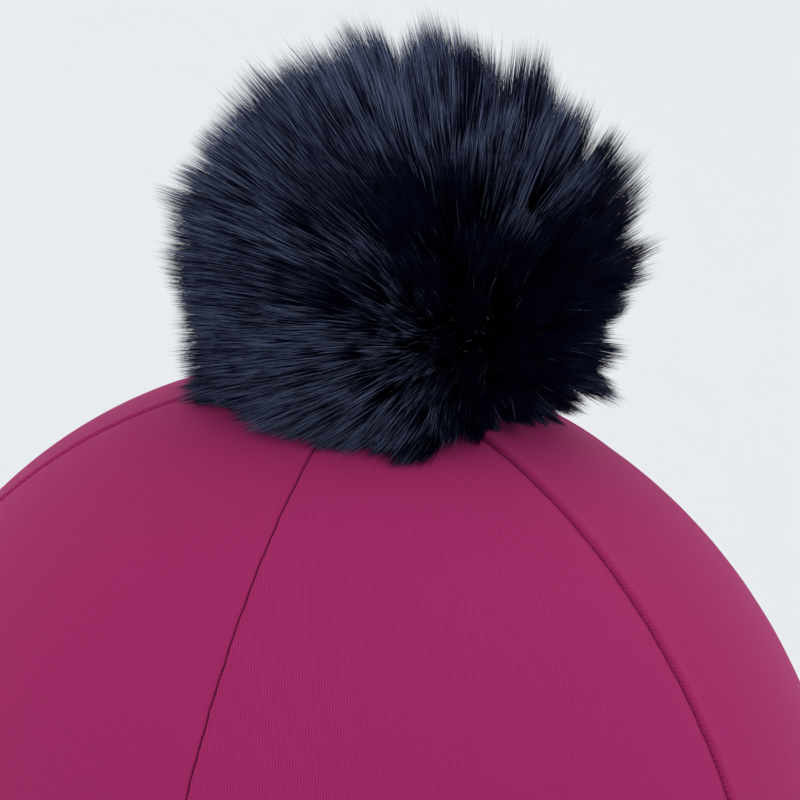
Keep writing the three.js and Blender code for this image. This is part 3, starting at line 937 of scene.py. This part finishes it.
def merge_doubles(piece):
    """Joins points that lie together, such as a pole's small ring, and drops the empty faces."""
    work = bmesh.new()
    work.from_mesh(piece.data)
    bmesh.ops.remove_doubles(work, verts=work.verts, dist=0.005 * MM)
    bmesh.ops.recalc_face_normals(work, faces=work.faces)
    work.to_mesh(piece.data)
    work.free()


# Fur

def fur_places(crown, pompom):
    """The pompom's centre and the point that its fur grows from."""
    behind = crown.centre_y + crown.seams_meet_behind
    centre = np.array([pompom.lean, behind, crown.top + pompom.rise])
    root = centre + [pompom.root_aside, -pompom.root_forward, -pompom.root_below]
    return centre, root


def towards(form):
    """The direction of one of the fur's forms."""
    return unit(np.array([form["side"], form["back"], form["up"]]))


def formed(directions, key):
    """The sum of one value of the fur's forms, each spread round its direction by a bell curve."""
    total = np.zeros(len(directions))
    for form in FUR_FORMS:
        total += form[key] * np.exp(-(1 - directions @ towards(form)) / form["width"] ** 2)
    return total


def fur_reach(crown, pompom, directions):
    """Distance from the fur's root to the pompom's outer form along each direction. The form is a
    superellipsoid, met by halving, and each parting or tuft scales it by a bell curve."""
    centre, root = fur_places(crown, pompom)
    near = np.zeros(len(directions))
    far = np.full(len(directions), 2 * (pompom.half_width + pompom.half_height))
    power = pompom.squareness
    halvings = 26
    for _ in range(halvings):
        middle = (near + far) / 2
        x, y, z = (root + directions * middle[:, None] - centre).T
        plan = (x / pompom.half_width) ** 2 + (y / pompom.half_depth) ** 2
        height = np.where(z < 0, pompom.half_height * pompom.spill, pompom.half_height)
        within = plan ** (power / 2) + np.abs(z / height) ** power < 1
        near = np.where(within, middle, near)
        far = np.where(within, far, middle)
    return near * (1 + formed(directions, "growth"))


def spread_directions(count, lowest):
    """Directions spread evenly by the golden angle, from straight up down to a lowest height."""
    k = np.arange(count) + 0.5
    up = 1 - (1 - lowest) * k / count
    flat = np.sqrt(1 - up**2)
    turn = k * np.pi * (3 - np.sqrt(5))
    return np.stack([np.cos(turn) * flat, np.sin(turn) * flat, up], axis=1)


def slow_field(directions, seed, waves=9, roughness=4.0):
    """A smooth vector field over directions: a sum of sines of random waves."""
    random = np.random.default_rng(seed)
    wave = random.normal(size=(waves, 3)) * roughness
    phase = random.uniform(0, 2 * np.pi, waves)
    weight = random.normal(size=(waves, 3)) / math.sqrt(waves)
    return np.sin(directions @ wave.T + phase) @ weight


def above_dome(crown, points, least):
    """Lifts points that would lie in the crown: depths below a thin layer are squeezed into it."""
    x, y = points[..., 0], points[..., 1] - crown.centre_y
    floor = dome_height(crown, x, y, 0.0)
    over = points[..., 2] - floor
    layer = 5 * MM
    squeezed = np.where(over > layer, over, layer * np.exp(np.clip(over / layer - 1, -6, 0)))
    lifted = points.copy()
    lifted[..., 2] = floor + np.maximum(squeezed, least)
    return lifted


def combed(directions):
    """How far each direction bends at a hair's tip: all the fur is swept to the wearer's right, and
    parts from the middle of each form by a bell curve's slope."""
    sweep = np.array([-0.145, 0.036, 0.0])
    bend = np.zeros_like(directions) + sweep
    for form in FUR_FORMS:
        away = (directions - towards(form)) / form["width"]
        bend += form["push"] * away * np.exp(-(away**2).sum(axis=1, keepdims=True) / 2)
    return bend


def hair_lines(crown, pompom, wisps, per_wisp, steps, reach_share, looseness, seed):
    """Centre lines of the hairs, from their roots to their tips, with the shades of their points and each
    hair's turn round the pompom. A hair leaves the root round its clump's direction. On the way out it
    draws towards its wisp, the wisp towards its clump and the clump towards its lock, and the comb and a
    slow field bend it. steps are the places of a line's points, as shares of the hair's length."""
    random = np.random.default_rng(seed)
    _, root = fur_places(crown, pompom)
    lowest = -0.55
    lock_scatter = 0.05
    clump_scatter = 0.025
    wisp_scatter = 0.45
    locks = spread_directions(pompom.locks, lowest)
    locks = unit(locks + random.normal(size=locks.shape) * lock_scatter)
    clumps = spread_directions(pompom.clumps, lowest)
    clumps = unit(clumps + random.normal(size=clumps.shape) * clump_scatter)
    nearest = np.argmax(clumps @ locks.T, axis=1)
    to_lock = locks[nearest] - clumps
    spacing = math.sqrt(2 * np.pi * (1 - lowest) / pompom.clumps)
    lock_spacing = math.sqrt(2 * np.pi * (1 - lowest) / pompom.locks)

    # The locks and wisps are closer on the wearer's left
    left_side = np.clip(clumps @ unit(np.array([1.0, -0.25, 0.0])) * 1.2 + 0.3, 0, 1)
    pull = 0.14 + 0.5 * left_side
    tight = 0.5 + 0.22 * left_side
    bend = combed(clumps) + slow_field(clumps, 5) * 0.07 + slow_field(clumps, 6, roughness=11.0) * 0.04
    clump_length = 1 + random.normal(size=len(clumps)) * 0.012
    lock_length = 1 + random.normal(size=len(locks)) * 0.02
    per_clump = wisps * per_wisp
    whose = np.repeat(np.arange(len(clumps)), per_clump)
    wisp = np.repeat(random.normal(size=(len(clumps) * wisps, 3)), per_wisp, axis=0) * spacing * wisp_scatter
    own = random.normal(size=(len(whose), 3)) * spacing * looseness
    wisp_tone = np.repeat(random.uniform(size=len(clumps) * wisps), per_wisp)
    far_from_clump = np.linalg.norm(wisp, axis=1) / spacing
    far_from_lock = np.linalg.norm(to_lock, axis=1)[whose] / (lock_spacing * 0.6)

    # Directions and lengths along each hair
    t = np.tile(np.array(steps, dtype=float), (len(whose), 1))
    t[:, 1:-1] += random.uniform(-0.1, 0.1, (len(whose), 1))
    along = t[..., None]
    direction = clumps[whose][:, None] + wisp[:, None] * (1 - tight[whose][:, None, None] * along)
    direction = direction + own[:, None] * (1 - 0.45 * along)
    direction = direction + (to_lock * pull[:, None])[whose][:, None] * along**1.5
    direction = unit(direction + bend[whose][:, None] * along**2)
    length = fur_reach(crown, pompom, direction[:, -1])
    length = length * (clump_length * lock_length[nearest])[whose]
    length = length * (1.03 - 0.06 * far_from_clump - 0.22 * far_from_lock * pull[whose])
    length = length * reach_share * (1 - 0.22 * random.uniform(size=len(whose)) ** 2.5)
    lines = root + direction * length[:, None, None] * along
    droop = random.uniform(0.6, 1.4, len(whose)) * 1.5 * MM
    lines[..., 2] -= droop[:, None] * t**2 + formed(clumps, "drop")[whose][:, None] * t**4
    lines = above_dome(crown, lines, 0.25 * MM)

    # Tones: how far along the hair, the hair's own, and its clump's, which also carries painted highlights
    # and painted shade
    own_tone = random.uniform(size=len(whose))
    patch = 1 + 1.2 * slow_field(clumps, 7, roughness=7.0)[:, 0]
    # Painted highlights on the lit sides and painted shade in the hollows, from the forms' directions
    painted_light = np.clip(0.65 + formed(clumps, "painted_light"), 0.03, 5.5)
    clump_tone_and_painted_light = (random.uniform(0.5, 1.0, len(clumps)) * np.clip(patch, 0.1, 2.2) * painted_light)[whose]
    shades = np.empty((*t.shape, 3))
    shades[..., 0] = (t - t[:, :1]) / (t[:, -1:] - t[:, :1])
    shades[..., 1] = (0.9 * own_tone + 0.1 * wisp_tone)[:, None]
    shades[..., 2] = clump_tone_and_painted_light[:, None]
    return lines, shades, np.arctan2(clumps[whose, 1], clumps[whose, 0])


def add_fur(name, lines, shades, radii, seed):
    """One piece of fur from its hairs' centre lines and shades, with a radius for each ring of a hair."""
    random = np.random.default_rng(seed)
    scale = random.uniform(0.75, 1.2, len(lines))[:, None]
    spin = random.uniform(0, 2 * np.pi, len(lines))
    points, faces = pointed_hairs(lines, radii[None] * scale, spin)
    rings = np.repeat(shades[:, :-1], 3, axis=1)
    tones = np.concatenate([rings, shades[:, -1:]], axis=1).reshape(-1, 3)
    piece = add_piece(name, points, faces, bpy.data.materials["navy_fur"], tones=tones)
    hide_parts("pompom")


class CAP_OT_make_backing(bpy.types.Operator):
    """Make the rounded backing inside the fur"""

    bl_idname = "cap.make_backing"
    bl_label = "Pompom backing"

    def execute(self, context):
        crown = context.scene.cap_crown
        pompom = context.scene.cap_pompom
        _, root = fur_places(crown, pompom)

        # The fur's outer form, scaled towards its root
        rows, columns = 40, 72
        reach_share = 0.56
        down = np.linspace(0.02, np.pi - 0.02, rows)
        direction = turned_grid(np.sin(down), np.cos(down), columns)
        reach = fur_reach(crown, pompom, direction.reshape(-1, 3)).reshape(rows, columns, 1)
        grid = above_dome(crown, root + direction * reach * reach_share, 0.35 * MM)
        poles = np.stack([grid[0].mean(axis=0), grid[-1].mean(axis=0)])
        points = np.concatenate([grid.reshape(-1, 3), poles])
        count = rows * columns
        quads = turned_quads(rows, columns)
        ring = np.arange(columns)
        ahead = np.roll(ring, -1)
        top = np.stack([ahead, ring, np.full(columns, count)], axis=1)
        bottom = np.stack([ring, ahead, np.full(columns, columns + 1)], axis=1) + count - columns
        faces = facing_out(points, np.concatenate([quads[:, [0, 1, 2]], quads[:, [0, 2, 3]], top, bottom]))
        piece = add_piece("pompom_backing", points, faces, bpy.data.materials["fur_backing"])
        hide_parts("pompom")
        return {"FINISHED"}


class CAP_OT_make_fur(bpy.types.Operator):
    """Make the pompom's undercoat, its loose hairs and its guard hairs"""

    bl_idname = "cap.make_fur"
    bl_label = "Fur"

    def execute(self, context):
        crown = context.scene.cap_crown
        pompom = context.scene.cap_pompom
        radius = pompom.hair_radius
        undercoat = {"wisps": 3, "per_wisp": 6, "steps": (0.42, 1), "reach_share": 0.9, "looseness": 0.3}
        lines, shades, _ = hair_lines(crown, pompom, **undercoat, seed=11)
        add_fur("fur_undercoat", lines, shades * 0.4, np.array([3.0]) * radius, seed=12)
        strays = {"wisps": 1, "per_wisp": 1, "steps": (0.6, 0.8, 1), "reach_share": 0.985, "looseness": 1.2}
        lines, shades, _ = hair_lines(crown, pompom, **strays, seed=13)
        shades[..., 1] = 1.3
        shades[..., 2] *= 1.3
        add_fur("fur_strays", lines, shades, np.array([0.7, 0.6]) * radius, seed=14)
        guard_hairs = {"per_wisp": 16, "steps": (0.6, 1), "reach_share": 1.04, "looseness": 0.4}
        lines, shades, azimuth = hair_lines(crown, pompom, pompom.wisps, **guard_hairs, seed=21)
        order = np.argsort(azimuth, kind="stable")
        names = ("fur_front_right", "fur_front_left", "fur_back_left", "fur_back_right")
        for k, (name, chosen) in enumerate(zip(names, np.array_split(order, len(names)))):
            add_fur(name, lines[chosen], shades[chosen], np.array([1.65]) * radius, seed=31 + k)
        return {"FINISHED"}


# Stage

# Each sun's name, place, strength and width in degrees
SUNS = (
    ("left", (-0.6, 0.1, 0.9), 1.05, 75),
    ("right", (1.0, -0.3, 0.35), 1.7, 95),
    ("back", (0.0, 0.45, 1.0), 0.4, 60),
    ("back_right", (0.5, 0.6, 0.6), 0.4, 60),
    ("front", (0.1, -1.0, 0.25), 0.25, 90),
)


class CAP_OT_make_materials(bpy.types.Operator):
    """Make the shared node groups and materials"""

    bl_idname = "cap.make_materials"
    bl_label = "Materials"

    def execute(self, context):
        colours = context.scene.cap_colours
        knit_group()
        mottle_group()
        thread_material(colours.thread)
        fur_material(colours.fur_root, colours.fur_middle, colours.fur_tip)
        backing_material(colours.fur_root)
        return {"FINISHED"}


def add_sun(name, place, strength, spread):
    """A sun that shines from a place towards the origin, from a disc that spans an angle in degrees."""
    light = bpy.data.lights.new(name, "SUN")
    light.energy = strength
    light.angle = math.radians(spread)
    lamp = bpy.data.objects.new(name, light)
    bpy.context.collection.objects.link(lamp)
    lamp.location = place
    lamp.rotation_mode = "QUATERNION"
    lamp.rotation_quaternion = (-Vector(place)).to_track_quat("-Z", "Y")


class CAP_OT_make_stage(bpy.types.Operator):
    """Make the camera, the lights and the floor"""

    bl_idname = "cap.make_stage"
    bl_label = "Stage"

    def execute(self, context):
        scene = context.scene
        self.camera(scene)
        self.lights(scene)
        self.floor(scene)
        scene.view_settings.view_transform = "Standard"
        return {"FINISHED"}

    def camera(self, scene):
        """Stands the camera off the dome's top along its azimuth and elevation, rolled, and moved in its
        own plane so that the dome's top falls where it does in the picture."""
        stage = scene.cap_stage
        crown = scene.cap_crown
        a, e, r = stage.azimuth, stage.elevation, stage.roll
        back = Vector((math.sin(a) * math.cos(e), -math.cos(a) * math.cos(e), math.sin(e)))
        right = Vector((math.cos(a), math.sin(a), 0))
        up = back.cross(right)
        rolled_right = right * math.cos(r) + up * math.sin(r)
        rolled_up = up * math.cos(r) - right * math.sin(r)
        top = Vector((0, crown.centre_y, crown.top))
        place = top + back * stage.distance + rolled_right * stage.top_aside - rolled_up * stage.top_above
        sensor = 36
        data = bpy.data.cameras.new("camera")
        data.sensor_width = sensor
        data.lens = sensor * stage.distance / stage.seen_width
        data.clip_start, data.clip_end = 0.01, 20
        camera = bpy.data.objects.new("camera", data)
        bpy.context.collection.objects.link(camera)
        axes = Matrix((rolled_right, rolled_up, back)).transposed().to_4x4()
        camera.matrix_world = Matrix.Translation(place) @ axes
        scene.camera = camera

    def lights(self, scene):
        """A pale world, brighter to the right, and the broad suns round the cap."""
        world = bpy.data.worlds.new("studio")
        world.use_nodes = True
        tree = world.node_tree
        shade = tree.nodes["Background"]
        shade.inputs["Color"].default_value = (0.92, 0.96, 1.0, 1.0)
        place = tree.nodes.new("ShaderNodeTexCoord")
        brighter = tree.nodes.new("ShaderNodeVectorMath")
        brighter.operation = "DOT_PRODUCT"
        brighter.inputs[1].default_value = (0.14, 0.07, 0.11)
        tree.links.new(place.outputs["Generated"], brighter.inputs[0])
        tree.links.new(math_node(tree, "ADD", brighter.outputs["Value"], 0.2), shade.inputs["Strength"])
        scene.world = world
        for sun in SUNS:
            add_sun(*sun)

    def floor(self, scene):
        """A wide round floor, which curves up at its rim into a low wall: a quarter circle turned round."""
        flat = 6.0
        radius = 1.5
        tall = 3.0
        sides = 96
        bend = np.linspace(0, np.pi / 2, 20)
        reach = np.concatenate([[0.05, 1.0, 3.0], flat + radius * np.sin(bend), [flat + radius]])
        height = np.concatenate([np.zeros(3), radius * (1 - np.cos(bend)), [tall]])
        points = turned_grid(reach, height, sides).reshape(-1, 3)
        faces = turned_quads(len(reach), sides)[:, [0, 3, 2, 1]].tolist()
        faces.append(list(range(sides)))
        mesh = bpy.data.meshes.new("floor")
        mesh.from_pydata(points.tolist(), [], faces)
        mesh.shade_smooth()
        mesh.materials.append(floor_material(scene.cap_colours.floor))
        floor = bpy.data.objects.new("floor", mesh)
        bpy.context.collection.objects.link(floor)


class CAP_PT_panel(bpy.types.Panel):
    """Lists the cap's operators and settings"""

    bl_label = "Jockey cap"
    bl_idname = "CAP_PT_panel"
    bl_space_type = "VIEW_3D"
    bl_region_type = "UI"
    bl_category = "Jockey cap"

    def draw(self, context):
        for operator in OPERATORS:
            self.layout.operator(operator.bl_idname)
        for group in SETTINGS:
            settings = getattr(context.scene, group)
            box = self.layout.box()
            for name in settings.__annotations__:
                box.prop(settings, name)


OPERATORS = (
    CAP_OT_make_materials,
    CAP_OT_make_stage,
    CAP_OT_make_crown,
    CAP_OT_make_seams,
    CAP_OT_make_hem,
    CAP_OT_make_peak,
    CAP_OT_make_button,
    CAP_OT_make_backing,
    CAP_OT_make_fur,
)
SETTINGS = {
    "cap_crown": CrownSettings,
    "cap_pompom": PompomSettings,
    "cap_colours": CapColours,
    "cap_stage": StageSettings,
}


def register():
    for name, settings in SETTINGS.items():
        bpy.utils.register_class(settings)
        setattr(bpy.types.Scene, name, PointerProperty(type=settings))
    for operator in OPERATORS:
        bpy.utils.register_class(operator)
    bpy.utils.register_class(CAP_PT_panel)


def unregister():
    bpy.utils.unregister_class(CAP_PT_panel)
    for operator in reversed(OPERATORS):
        bpy.utils.unregister_class(operator)
    for name, settings in SETTINGS.items():
        delattr(bpy.types.Scene, name)
        bpy.utils.unregister_class(settings)


def main():
    register()
    for operator in OPERATORS:
        group, name = operator.bl_idname.split(".")
        getattr(getattr(bpy.ops, group), name)()


if __name__ == "__main__":
    main()
